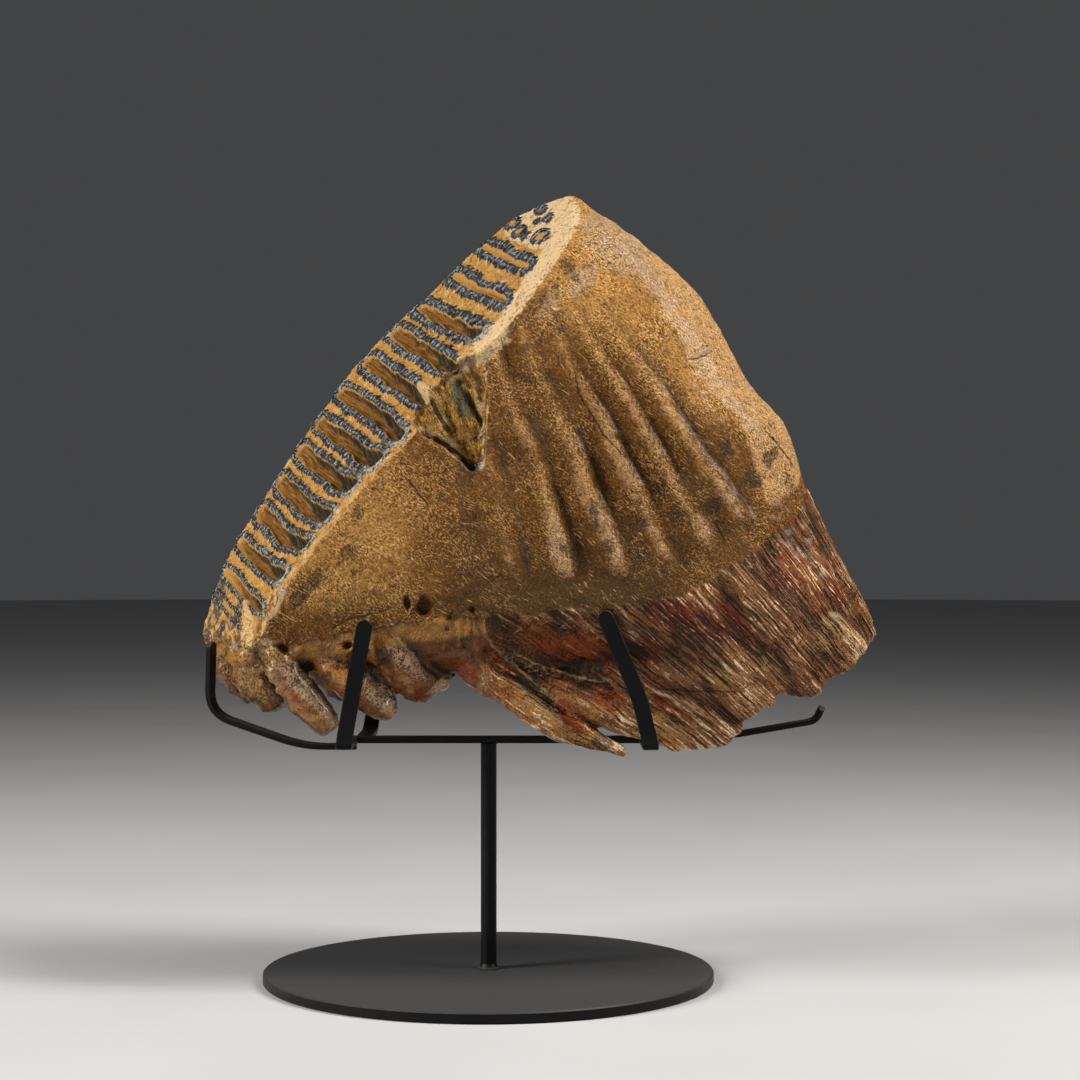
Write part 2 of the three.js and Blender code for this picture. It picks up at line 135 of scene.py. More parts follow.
# Marks on the tooth, as (x, height, half length, half width, turn in degrees, strength)
marks = {
    "dark": [
        (85, 184, 4, 3, 20, 0.9), (100, 194, 5, 4, -30, 0.9), (107, 202, 5, 3, 40, 0.8),
        (65, 190, 3, 5, 0, 0.8), (71, 180, 4, 4, 0, 0.8), (90, 206, 3, 5, 20, 0.7),
        (31, 167, 5, 3, -40, 0.75), (57, 178, 5, 4, -30, 0.75), (31, 273, 7, 3, -55, 0.7),
        (14, 168, 2, 7, 15, 0.8), (40, 181, 2, 7, 10, 0.8), (45, 168, 3, 6, 10, 0.7),
        (22, 263, 9, 2.2, 52, 0.55), (12, 253, 8, 1.8, 50, 0.45), (18, 232, 11, 3.2, 2, 0.6),
        (-70, 150, 6, 3.5, 50, 0.9), (-64, 156, 6, 3, 45, 0.8), (-53, 166, 6, 3, 40, 0.6),
        (-48, 181, 3, 3, 0, 0.7), (-58, 149, 5, 3, 20, 0.4), (-49, 160, 5, 4, 10, 0.35),
        (97, 178, 5, 3, 30, 0.5), (115, 192, 3, 6, 20, 0.6), (127, 168, 2.5, 14, 18, 0.4),
        (15, 117, 6, 3, -40, 0.8), (44, 95, 5, 4, -20, 0.9), (-77, 130, 4, 2.5, -20, 0.8),
        (108, 214, 2, 3, 0, 0.4), (-37, 127, 4, 4, 20, 0.5), (-63, 117, 3, 7, -50, 0.8),
        (-5, 197, 2.5, 5, -42, 0.9), (28, 250, 9, 3, -20, 0.45), (40, 262, 10, 3, -35, 0.45),
        (18, 244, 8, 3, 30, 0.4), (-98.5, 144, 9, 3, 84, 0.9), (-103, 132, 9, 1.4, 80, 0.7),
        (-97, 131, 5, 1.6, 70, 0.8), (-77, 150, 6, 1.8, 60, 0.7), (-7, 198, 6, 3, -42, 0.9),
    ],
    "maroon": [
        (76, 142, 25, 8, -14, 0.95), (113, 160, 10, 8, -50, 0.9), (60, 131, 10, 8, -30, 0.75),
        (90, 139, 12, 8, -40, 0.85), (98, 131, 9, 5, -40, 0.5), (132, 155, 3, 14, 15, 0.8),
        (45, 134, 9, 5, -30, 0.6), (123, 148, 8, 14, -60, 0.45), (-14, 135, 9, 3, -30, 0.5),
    ],
    "rust": [
        (10, 121, 6, 2.5, -45, 0.9), (33, 104, 11, 5, -42, 0.9), (46, 128, 12, 7, -35, 0.65),
        (44, 113, 12, 6, -30, 0.6), (60, 118, 10, 4, -20, 0.5), (-72, 112, 7, 1.5, -45, 0.7),
        (14, 134, 10, 3, -20, 0.5), (-22, 124, 2, 9, 10, 0.6), (71, 106, 12, 3.5, -38, 0.9),
        (32, 131, 16, 7, -12, 1.0), (-8, 122, 7, 3, -20, 0.9), (-26, 113, 1.5, 6, 8, 0.8),
        (0, 130, 9, 2, -45, 0.9),
    ],
    "pale": [
        (138, 133, 7, 4, -35, 0.6), (141, 127, 4, 3, 10, 0.6), (-92, 139, 2.5, 12, 8, 0.9),
        (-17, 115, 6, 3.5, 25, 0.9), (-57, 102, 1.6, 5, -20, 0.9),
        (-80, 131, 8, 2.5, -15, 0.6), (14, 228.5, 12, 1, 3, 0.45),
        (-52, 152, 7, 1, -50, 0.4), (97, 160, 3, 9, -45, 0.3), (-1, 241.5, 14, 4, 38, 0.95),
        (-23.5, 227.5, 4, 2.6, -60, 1.0), (-21, 213.5, 4, 1.8, -32, 0.8),
    ],
    "ochre": [
        (-18, 208.3, 10, 2.4, -27, 1.0), (-9, 210.5, 7, 4.5, -20, 0.9), (-12, 219, 1.6, 4, 10, 0.8),
        (-2.5, 224, 2.2, 12, 6, 0.8), (-90, 141, 4, 9, 14, 0.9),
    ],
    "flank": [
        (-68.5, 107.2, 13, 3.4, -43, 1.0), (-32.5, 118, 8.5, 3.6, -33, 1.0),
        (-56, 120.5, 7, 3.6, -35, 0.9), (10, 126, 9, 3, -40, 0.5),
    ],
    "granular": [
        (-38, 111, 9, 6, -40, 1.0), (-31, 125.5, 10, 3.5, -38, 0.8), (-69, 115, 13, 3.5, -46, 0.9),
    ],
    "greyPlate": [(-10, 224, 8, 3.6, -62, 1.0)],
    "smooth": [
        (26, 130, 24, 10, -10, 1.0), (35, 112, 16, 9, -30, 0.9), (12, 110, 34, 6, -32, 0.75),
        (-8, 124, 13, 9, -30, 1.0),
    ],
    "underRim": [
        (48, 284, 17, 10, -42, 1.0), (36, 270, 9, 5, 50, 0.9), (24, 260, 10, 4, 52, 0.7),
        (2, 243, 12, 4, 45, 0.6),
    ],
    "tan": [
        (-88, 117, 13, 9, -40, 1.0), (-82, 128, 8, 4, -30, 0.8), (-76, 108, 5, 4, 0, 0.7),
        (33, 103, 28, 6, -30, 0.9), (66, 101, 16, 6, 5, 0.9), (90, 118, 12, 6, -30, 0.6),
        (105, 126, 8, 5, -30, 0.6), (130, 137, 14, 6, 60, 0.7),
    ],
    "khaki": [
        (25, 150, 50, 9, 2, 0.9), (93, 131, 6, 5, -40, 0.6), (-50, 146, 22, 7, 12, 0.6),
        (-85, 118, 9, 6, -35, 0.7), (108, 178, 14, 5, 48, 0.2), (121, 190, 5, 12, 25, 0.25),
    ],
}

# These marks are on the near side only; the others come again on the far side, shifted in x and height
nearSideMarks = ("pale", "ochre", "greyPlate")
farSideShift = (9.0, -4.0)

# Hollows, as (x, height, half length, half width, turn in degrees, depth), where y is below nearSide
nearSide = -15
pits = [
    (-29.6, 147.5, 1.3, 3.2, 12, 2.6), (-23.2, 146, 3.8, 3.9, 0, 3.2), (-76.8, 130, 2.8, 2.0, -20, 3.0),
    (-52, 131.5, 2.0, 1.6, 0, 3.0), (-5, 145, 1.6, 1.2, -40, 1.5), (-14, 142, 1.1, 1.1, 0, 1.2),
    (-15, 138, 1.1, 1.1, 0, 1.2), (30, 167, 2.2, 1.2, -40, 0.8), (-49, 180, 1.4, 1.0, 0, 0.8),
]

# Cracks, as points (x, height)
cracks = [
    [(32, 238), (35, 225), (44, 210), (52, 201), (57, 191)],
    [(69, 223), (76, 214), (80, 210)],
    [(75, 239), (80, 240), (86, 243)],
    [(104, 214), (110, 208), (119, 197)],
    [(8, 127), (12, 124), (22, 120), (37, 117), (49, 116)],
    [(63, 115), (80, 114), (95, 114), (102, 119)],
    [(132, 163), (136, 152), (139, 144)],
    [(-60, 136), (-52, 141), (-40, 144), (-33, 146)],
    [(8, 250), (16, 259), (24, 268)],
    [(-0.5, 238), (0, 226), (-0.3, 212), (-2.5, 198)],
    [(-27, 211.5), (-18, 208), (-10, 202.5), (-4, 195.5)],
    [(-21.5, 225), (-17.5, 217), (-13, 210)],
    [(-11, 233), (-5, 222), (0, 211.5)],
    [(-31, 196), (-25, 188), (-20, 182)],
]

# Thin pale crests and broken lips
lips = [
    [(-28, 214), (-18, 210.5), (-10.7, 205.5), (-5.5, 198)],
    [(-25.5, 231), (-20, 222), (-13.5, 211)],
    [(-4.5, 232), (-2.5, 222), (-2, 210)],
    [(-3, 137.5), (7, 127), (15.6, 119.3), (27, 110), (37.6, 101.3), (48, 98)],
    [(8, 129), (22, 123), (37, 118.4), (49, 118)],
    [(60, 115), (75, 110), (85, 103)],
    [(-94, 150), (-92, 141), (-96, 131)],
    [(-75, 155), (-79.4, 144), (-85.5, 137), (-90.3, 128), (-95, 124)],
    [(-36, 137), (-30.5, 131), (-24.5, 124)],
]

# Roots that are fuller than in the model, as (point, reach, swelling)
swellings = [
    ((-78, -27, 122), 11, 1.6), ((-70, -28, 112), 11, 2.2), ((-62, -28, 104), 10, 1.6),
    ((-88, -14, 118), 14, 1.6), ((-23, -27, 115), 9, 1.6),
]

# Flat breaks on the root tips and flanks, as (point, outward direction, reach)
breaks = [
    ((-58.5, -28, 99.5), (0.66, -0.13, -0.74), 12),
    ((-73.5, -31.5, 110.5), (-0.5, -0.7, -0.5), 17),
    ((-34.5, -28, 105.8), (0.85, 0.1, -0.52), 8),
    ((-31.5, -36.5, 119), (-0.5, -0.75, -0.4), 11),
    ((-23, -28, 112), (0.5, -0.5, -0.7), 8),
    ((-90, -18.3, 118), (-0.3, -0.9, -0.3), 14),
    ((-79, -9, 107.5), (0.55, -0.2, -0.8), 9),
    ((-92, 17, 109.5), (0.6, 0, -0.8), 9),
    ((-57, 27, 108.5), (0.5, 0.1, -0.85), 9),
    ((-32, 27, 110.5), (0.6, 0.2, -0.8), 9),
    ((34, 26, 102), (0.8, 0.1, -0.55), 9),
    ((144, 0, 131), (0.75, 0, -0.66), 60),
]


def smoothStep(low, high, value):
    t = np.clip((value - low) / (high - low), 0.0, 1.0)
    return t * t * (3 - 2 * t)


def grain(points, size, octaves=3, shift=0):
    # fractal noise from about -1 to 1; size may be one number or one per axis
    scaled = (points / np.asarray(size, float) + 13.7 * shift).tolist()
    return np.array([noise.fractal(p, 1.0, 2.0, octaves) for p in scaled])


def follow(line, value):
    # reads a line that is given as (place, value) pairs
    return np.interp(value, *zip(*line))


def readVectors(items, name):
    values = np.empty(3 * len(items))
    items.foreach_get(name, values)
    return values.reshape(-1, 3)


def readPoints(mesh):
    return readVectors(mesh.vertices, "co") * 1000


def readNormals(mesh):
    return readVectors(mesh.vertices, "normal")


def writePoints(mesh, points):
    mesh.vertices.foreach_set("co", (points / 1000).ravel())
    mesh.update()


def readEdges(mesh):
    values = np.empty(2 * len(mesh.edges), np.int64)
    mesh.edges.foreach_get("vertices", values)
    return values.reshape(-1, 2)


def neighbourMean(values, edges):
    count = len(values)
    ends = np.bincount(edges.ravel(), minlength=count)
    first, second = edges.T
    columns = values.reshape(count, -1)
    sums = [np.bincount(first, column[second], count) + np.bincount(second, column[first], count)
            for column in columns.T]
    return (np.stack(sums, 1) / ends[:, None]).reshape(values.shape)


def relax(points, edges, passes):
    # smooths without shrinking
    for _ in range(passes):
        for pull in (0.5, -0.52):
            points = points + pull * (neighbourMean(points, edges) - points)
    return points


def spread(values, edges, passes):
    for _ in range(passes):
        values = 0.4 * values + 0.6 * neighbourMean(values, edges)
    return values


def newPiece(name, mesh):
    piece = bpy.data.objects.new(name, mesh)
    bpy.context.scene.collection.objects.link(piece)
    return piece


def weldedCopy(node, name):
    mesh = bpy.data.meshes.new(name)
    shape = bmesh.new()
    shape.from_mesh(node.data)
    bmesh.ops.remove_doubles(shape, verts=shape.verts, dist=1e-6)
    shape.to_mesh(mesh)
    shape.free()
    return mesh


def settle(piece):
    # the piece's modifiers become its mesh
    bpy.context.view_layer.update()
    evaluated = piece.evaluated_get(bpy.context.evaluated_depsgraph_get())
    piece.data = bpy.data.meshes.new_from_object(evaluated)
    piece.modifiers.clear()


def refine(mesh, wanted, cuts):
    shape = bmesh.new()
    shape.from_mesh(mesh)
    shape.faces.ensure_lookup_table()
    chosen = {edge for face, inside in zip(shape.faces, wanted) if inside for edge in face.edges}
    bmesh.ops.subdivide_edges(shape, edges=list(chosen), cuts=cuts, use_grid_fill=True)
    shape.to_mesh(mesh)
    shape.free()


def surfaceTree(mesh):
    corners = [vertex.co * 1000 for vertex in mesh.vertices]
    return BVHTree.FromPolygons(corners, [polygon.vertices for polygon in mesh.polygons])


def keepClear(points, moved, clearance):
    # bone that would grow into a steel strip stays just clear of it
    reach = 4
    for name, node in nodes.items():
        if name in ("tooth", "base_disc", "post"):
            continue
        tree = surfaceTree(node.data)
        low, high = (np.array(corner) * 1000 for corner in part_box(name))
        near = np.all((points > low - reach) & (points < high + reach), axis=1)
        for index in np.flatnonzero(near):
            place, normal, _, _ = tree.find_nearest(Vector(moved[index]))
            away = Vector(moved[index]) - place
            side = away.dot(normal)
            if side < clearance and away.length < reach:
                moved[index] = moved[index] + np.array(normal) * (clearance - side)
    return moved


def setField(mesh, name, values):
    attribute = mesh.attributes.new(name, "FLOAT", "POINT")
    attribute.data.foreach_set("value", values.astype(np.float32))


def neckHeight(x):
    return follow(crown["neckLine"], x)


def chewingMask(points, normals):
    facing = normals @ np.array(chewing["normal"])
    return (facing > chewing["facing"]) & (points[:, 2] > chewing["lowest"])


def fromCentre(x, z, mark):
    # distance from an oval mark's centre, 1 at its edge
    centreX, centreZ, length, width, turn, _ = mark
    c, s = math.cos(math.radians(turn)), math.sin(math.radians(turn))
    u = ((x - centreX) * c + (z - centreZ) * s) / length
    v = ((z - centreZ) * c - (x - centreX) * s) / width
    return np.hypot(u, v)


def patchField(points, patches, ragged):
    shiftX, shiftZ = farSideShift
    x = points[:, 0] + np.where(points[:, 1] > 0, shiftX, 0.0)
    z = points[:, 2] + np.where(points[:, 1] > 0, shiftZ, 0.0)
    field = np.zeros(len(points))
    for patch in patches:
        inside = smoothStep(1.35, 0.45, fromCentre(x, z, patch) + 0.35 * ragged)
        field = np.maximum(field, patch[-1] * inside)
    return field


def pitDepth(points, ragged):
    x, y, z = points.T
    depth = np.zeros(len(points))
    for pit in pits:
        inside = smoothStep(1.15, 0.35, fromCentre(x, z, pit) + 0.12 * ragged) * (y < nearSide)
        depth = np.maximum(depth, pit[-1] * inside)
    return depth


def lineFields(points, lines, name):
    # signed distance to the nearest line, with a fade that hides it towards the line's ends
    x, z = points[:, 0], points[:, 2]
    nearest = np.full(len(points), 50.0)
    signed = np.full(len(points), 50.0)
    fade = np.zeros(len(points))
    for line in lines:
        lengths = [math.dist(a, b) for a, b in zip(line, line[1:])]
        total = sum(lengths)
        start = 0.0
        for (ax, az), (bx, bz), length in zip(line, line[1:], lengths):
            dx, dz = (bx - ax) / length, (bz - az) / length
            along = np.clip((x - ax) * dx + (z - az) * dz, 0, length)
            distance = np.hypot(x - ax - along * dx, z - az - along * dz)
            closer = distance < nearest
            part = (start + along) / total
            ends = smoothStep(0, 0.12, part) * smoothStep(1, 0.8, part)
            nearest[closer] = distance[closer]
            signed[closer] = ((x - ax) * dz - (z - az) * dx)[closer]
            fade[closer] = ends[closer]
            start += length
    fade *= smoothStep(5, 3, nearest) * (points[:, 1] < -10)
    return {name + "Side": np.clip(signed, -6, 6), name + "Fade": fade}


def plateFields(points, face):
    # "loop" is the distance from the nearest enamel loop's outer edge, positive outside
    x, y, z = points.T
    slantY, slantZ = chewing["slant"]
    beyondRim = np.maximum(x - follow(chewing["nearRimX"], z) - 1, 0)
    fromNear = slantY * (y - follow(chewing["nearRim"], z))
    fromNear -= 0.7 * beyondRim * (1 - face)
    fromNear += 0.9 * grain(points, 7, 2, 14)
    fromFar = slantY * (follow(chewing["farRim"], z) - y)
    level = z - chewing["bow"] * y
    wander = grain(points, 15, 2, 1)
    pinch = grain(points, 11, 2, 2)
    frill = grain(np.stack([y, level, 0 * y], 1), (1.5, 5, 1), 2, 3)
    loop = np.full(len(points), 20.0)
    enamel = np.full(len(points), 2.0)
    tilt = np.zeros(len(points))
    depth = np.zeros(len(points))
    reach = np.full(len(points), 40.0)

    def keepNearest(distance, *others):
        closer = distance < loop
        for kept, value in zip((loop, enamel, tilt, depth, reach), (distance, *others)):
            np.copyto(kept, value, where=closer)

    for height, upturn, half, basin, thickness, nearMargin, farMargin, frilly in chewing["plates"]:
        lift = upturn * np.clip(-y / 32, 0, 1.2) ** 2
        across = slantZ * (level - height - lift) + 0.9 * wander
        width = half * (1 + 0.18 * pinch)
        corner = 0.97 * width
        sides = np.abs(across) - (width - corner)
        ends = np.maximum(nearMargin + corner - fromNear, farMargin + corner - fromFar)
        distance = np.hypot(np.maximum(sides, 0), np.maximum(ends, 0)) - corner
        distance += np.minimum(np.maximum(sides, ends), 0) + frilly * frill
        keepNearest(distance, thickness - 1.3 * frilly * frill, across / width, basin, nearMargin)
    for ringY, height, length, width in chewing["rings"]:
        along = 1.19 * (y - ringY) / length
        across = slantZ * (level - height) / width
        distance = (np.hypot(along, across) - 1) * min(length, width) + 0.35 * frill
        keepNearest(distance, chewing["ringEnamel"], 0, 0.3, 40)
    nearness = np.clip(fromFar / np.maximum(fromFar + fromNear, 1), 0, 1)
    hollow = depth * smoothStep(0.0, 1.3, -loop - enamel) * (0.3 + 0.7 * smoothStep(0.0, 0.75, nearness))
    hollow *= 0.25 + 0.75 * np.clip(0.5 + 0.7 * tilt, 0, 1)
    # wall: the dark striped wall on the apex side of each basin, widening towards the deep near end,
    # partly the wall's olive colour and partly painted shade
    wallStart = 0.35 - 0.55 * smoothStep(0.4, 1.0, nearness)
    wall = smoothStep(wallStart - 0.05, wallStart + 0.08, tilt + 0.08 * wander)
    margin = smoothStep(reach + 4, reach + 0.5, fromNear)
    return {
        "loop": loop,
        "enamel": enamel,
        "tilt": tilt,
        "hollow": hollow,
        "crest": smoothStep(0.3, -0.4, loop) * smoothStep(0.4, -0.3, -loop - enamel),
        "margin": margin * (0.35 + 0.65 * smoothStep(226, 244, z)),
        "wall": wall * smoothStep(0.5, 2.5, depth),
        "nearEnd": smoothStep(reach + 9, reach + 2, fromNear) * smoothStep(262, 248, z),
    }


def ridgeFields(points, normals, face):
    # "part" runs from 0 to 1 over each ridge
    x, y, z = points.T
    centreX, centreZ = crown["fanCentre"]
    angle = np.degrees(np.arctan2(centreZ - z, x - centreX))
    angles = crown["ridgeAngles"]
    phase = np.interp(angle, angles, np.arange(len(angles)) - 1.0)
    phase += np.where(y > 0, 0.37, 0) + 0.13 * grain(points, 26, 2, 4)
    part, foot = np.mod(phase, 1.0), 1 - crown["steepPart"]
    wave = np.where(part > foot, smoothStep(foot, 1, part), smoothStep(foot, 0, part))
    strength = smoothStep(51, 56, angle) * smoothStep(84, 76, angle)
    strength *= 0.35 + 0.65 * smoothStep(77, 70, angle)
    strength *= np.clip(0.95 + 0.7 * grain(points, 32, 2, 12), 0.35, 1.35)
    strength *= smoothStep(4, 20, z - neckHeight(x)) * smoothStep(278, 215, z)
    strength *= smoothStep(0.35, 0.8, np.abs(normals[:, 1]))
    return {
        "ridge": (wave - 0.42) * strength * (1 - face),
        "part": part,
        "creaseFade": np.clip(strength, 0, 1) * (1 - face),
    }


def ribFields(points):
    # the ribs fan out on the right and lie side by side on the left
    x, y, z = points.T
    centreX, centreZ = roots["fanCentre"]
    leftX, leftZ = roots["leftWay"]
    onRight = smoothStep(-12, 2, x)
    across = roots["fanRadius"] * np.arctan2(z - centreZ, centreX - x) * onRight
    across += (leftX * x + leftZ * z) * (1 - onRight)
    across += roots["wrap"] * np.clip(y + 25, 0, 50)
    along = np.hypot(z - centreZ, centreX - x) * onRight + (leftZ * x - leftX * z) * (1 - onRight)
    fan = np.stack([across, along, y], 1)
    valley = 2.6 * np.abs(grain(fan, roots["ribSize"], 2, 5)) - 0.5
    return {
        "rib": np.minimum(valley, 0.4),
        "fineRib": grain(fan, roots["fineSize"], 3, 6),
        "fanAcross": across,
        "fanAlong": along,
    }


def finerWhere(mesh):
    centres = readVectors(mesh.polygons, "center") * 1000
    x, y, z = centres.T
    low, high = chipPlace["box"]
    chipped = np.all((centres > low) & (centres < high), axis=1)
    pitted = np.zeros(len(centres), bool)
    for pit in pits:
        pitted |= (np.hypot(x - pit[0], z - pit[1]) < surface["pitReach"]) & (y < nearSide)
    return chewingMask(centres, readVectors(mesh.polygons, "normal")) | chipped | pitted


def swell(points, normals):
    moved = points.copy()
    for place, reach, amount in swellings:
        distance = np.linalg.norm(points - np.array(place), axis=1)
        moved += normals * (amount * smoothStep(reach, 0.3 * reach, distance))[:, None]
    return moved


def breakOff(points, normals):
    # beyond each break the bone is gone, leaving a slightly rough flat
    for place, way, reach in breaks:
        way = np.array(way) / np.linalg.norm(way)
        offset = points - np.array(place)
        beyond = offset @ way
        gone = (beyond > 0) & (np.linalg.norm(offset, axis=1) < reach) & (normals @ way > -0.2)
        rough = 0.5 * grain(points[gone], 3, 2, 13)
        points[gone] -= np.outer(beyond[gone] * 0.92 + rough, way)
    return points


def rebuiltTooth():
    # the solid's surface on an even grid, rounded off and finer where the detail is
    solid = weldedCopy(nodes["tooth"], "toothSolid")
    tree = surfaceTree(solid)
    piece = newPiece("fossil_tooth", solid)
    remesh = piece.modifiers.new("rebuild", "REMESH")
    remesh.mode = "VOXEL"
    remesh.voxel_size = surface["gridSize"] / 1000
    settle(piece)
    mesh = piece.data
    points = np.array([tuple(tree.find_nearest(Vector(p))[0]) for p in readPoints(mesh)])
    writePoints(mesh, relax(points, readEdges(mesh), surface["relaxPasses"]))
    refine(mesh, finerWhere(mesh), surface["faceCuts"])
    points, normals = readPoints(mesh), readNormals(mesh)
    points = relax(points, readEdges(mesh), surface["lastRelaxPasses"])
    writePoints(mesh, breakOff(swell(points, normals), normals))
    mesh.polygons.foreach_set("use_smooth", [True] * len(mesh.polygons))
    return piece


def toothShape(points, normals, edges):
    # what the relief and the colours are made from, one number per point
    x, y, z = points.T
    face = spread(chewingMask(points, normals).astype(float), edges, 2)
    above = z - neckHeight(x)
    root = smoothStep(2.5, -2.5, above + 2.5 * grain(points, 9, 3, 7))
    topHeight, topRise = chipPlace["upperEdge"]
    chip = smoothStep(*chipPlace["behind"], y) * (1 - face) * (y < -20)
    chip *= smoothStep(*chipPlace["left"], x) * smoothStep(*chipPlace["right"], x)
    chip *= smoothStep(*chipPlace["foot"], z) * smoothStep(*chipPlace["top"], z - topHeight - topRise * x)
    splitAcross, splitAlong = 0.87 * x + 0.5 * z, 0.5 * x - 0.87 * z
    ragged = grain(points, 3, 2, 11)
    return SimpleNamespace(
        face=face,
        above=above,
        root=root,
        left=smoothStep(6, -10, x) * root,
        chip=chip,
        ruin=face * smoothStep(145, 139, z + 0.3 * y),
        dent=np.einsum("ij,ij->i", spread(points, edges, 45) - points, normals),
        splitAcross=splitAcross,
        splitAlong=splitAlong,
        splinters=grain(np.stack([splitAcross, splitAlong, y], 1), (3.4, 16, 7), 3, 10),
        ragged=ragged,
        hole=pitDepth(points, ragged),
        **plateFields(points, face),
        **ridgeFields(points, normals, face),
        **ribFields(points),
        **lineFields(points, cracks, "crack"),
        **lineFields(points, lips, "lip"),
    )


def carved(points, normals, shape):
    # the points in their final places
    x, y, _ = points.T
    face, root, left = shape.face, shape.root, shape.left
    out = 0.55 * grain(points, 17, 3, 8) + 0.38 * grain(points, (4.6, 4.6, 3.4), 3, 9)
    out *= 1 - 0.8 * face
    out += crown["ridgeHeight"] * shape.ridge * (1 - root)
    ribs = roots["ribHeight"] * shape.rib + roots["fineHeight"] * shape.fineRib
    out += root * (1 - 0.7 * left) * ribs
    out += shape.chip * (2.0 * shape.splinters - 0.4)
    out += smoothStep(-72, -84, x) * root * (1.6 * grain(points, (7, 7, 3.2), 3, 15) - 0.3)
    out += 0.5 * left * grain(points, (3.2, 5, 3.2), 3, 16)
    out += 0.9 * shape.lipFade * smoothStep(2.4, 0.2, np.abs(shape.lipSide))
    out -= 0.5 * shape.crackFade * smoothStep(1.1, 0.1, np.abs(shape.crackSide))
    rimZone = smoothStep(0.02, 0.3, face) * smoothStep(1.0, 0.75, face) * (y < 0)
    out += chewing["scallop"] * rimZone * smoothStep(4.5, 0.5, shape.loop) * (1 - shape.chip)
    moved = points + normals * out[:, None]
    moved[:, 1] += shape.hole
    outward = np.array(chewing["normal"]) / np.linalg.norm(chewing["normal"])
    sag = 0.35 * smoothStep(0.0, 1.2, shape.loop) * (1 - shape.margin)
    raised = face * (chewing["proud"] * shape.crest - sag) + 1.6 * shape.ruin * shape.splinters
    moved += np.outer(raised, outward)
    moved += np.outer(face * shape.hollow, chewing["dip"])
    return keepClear(points, moved, surface["standClearance"])


def colourFields(points, normals, shape):
    # what the material reads
    x, y, z = points.T
    above = shape.above
    # lift: paler towards the top right and low on the left of the crown, and darker low in the middle
    # just above the neck, which is painted shade
    lift = smoothStep(238, 298, z + 0.55 * x) + 0.35 * smoothStep(60, 90, x) * smoothStep(205, 225, z)
    lift += 0.9 * smoothStep(-8, -42, x) * smoothStep(137, 150, z) * (1 - shape.root)
    lift -= 0.45 * smoothStep(36, 4, above) * smoothStep(-25, -5, x) * smoothStep(90, 60, x)
    # the ridges' lower ends, where the material paints highlights
    ridgeEnd = 2 * np.clip(shape.ridge, 0, 1) * smoothStep(8, 18, above) * smoothStep(48, 32, above)
    asTheyAre = (
        "face", "loop", "enamel", "wall", "nearEnd", "margin", "ruin", "splitAcross", "splitAlong",
        "ridge", "part", "creaseFade", "rib", "fanAcross", "fanAlong", "root", "left", "chip",
        "crackSide", "crackFade", "lipSide", "lipFade", "dent",
    )
    fields = {name: getattr(shape, name) for name in asTheyAre}
    fields.update({
        "inner": np.clip(shape.hollow / 3, 0, 1),
        "acrossPlate": shape.tilt * 4 + z / 11,
        "alongPlate": y / 9,
        "lift": lift,
        "ridgeEnd": ridgeEnd,
        "beyond": shape.loop * (1 - shape.face) + 20 * shape.face,
        "finger": smoothStep(-4, -11, above),
        "upward": normals[:, 2],
        "hole": np.clip(shape.hole / 2, 0, 1),
        "hindward": smoothStep(0.1, 0.75, normals[:, 0]) * smoothStep(6, 14, above),
    })
    for name, patches in marks.items():
        shown = y < 0 if name in nearSideMarks else 1.0
        fields[name] = patchField(points, patches, shape.ragged) * shown
    return fields


def buildTooth():
    piece = rebuiltTooth()
    mesh = piece.data
    points, normals = readPoints(mesh), readNormals(mesh)
    shape = toothShape(points, normals, readEdges(mesh))
    writePoints(mesh, carved(points, normals, shape))
    for name, values in colourFields(points, normals, shape).items():
        setField(mesh, name, values)
    triangles = sum(len(polygon.vertices) - 2 for polygon in mesh.polygons)
    print("tooth surface:", len(mesh.vertices), "points", triangles, "triangles")
    return piece


def operator(operation, reflected=False):
    def apply(self, *others):
        return self.maths(operation, *((*others, self) if reflected else (self, *others)))
    return apply


class Wire:
    # a shader socket that takes part in Python expressions
    def __init__(self, socket):
        self.socket = socket

    def maths(self, operation, *values):
        tree = self.socket.id_data
        node = tree.nodes.new("ShaderNodeMath")
        node.operation = operation
        for place, value in zip(node.inputs, values):
            if isinstance(value, Wire):
                tree.links.new(value.socket, place)
            else:
                place.default_value = value
        return Wire(node.outputs[0])

    __add__ = operator("ADD")
    __radd__ = operator("ADD", reflected=True)
    __sub__ = operator("SUBTRACT")
    __rsub__ = operator("SUBTRACT", reflected=True)
    __mul__ = operator("MULTIPLY")
    __rmul__ = operator("MULTIPLY", reflected=True)
    __truediv__ = operator("DIVIDE")
    __abs__ = operator("ABSOLUTE")

    def __neg__(self):
        return self * -1.0


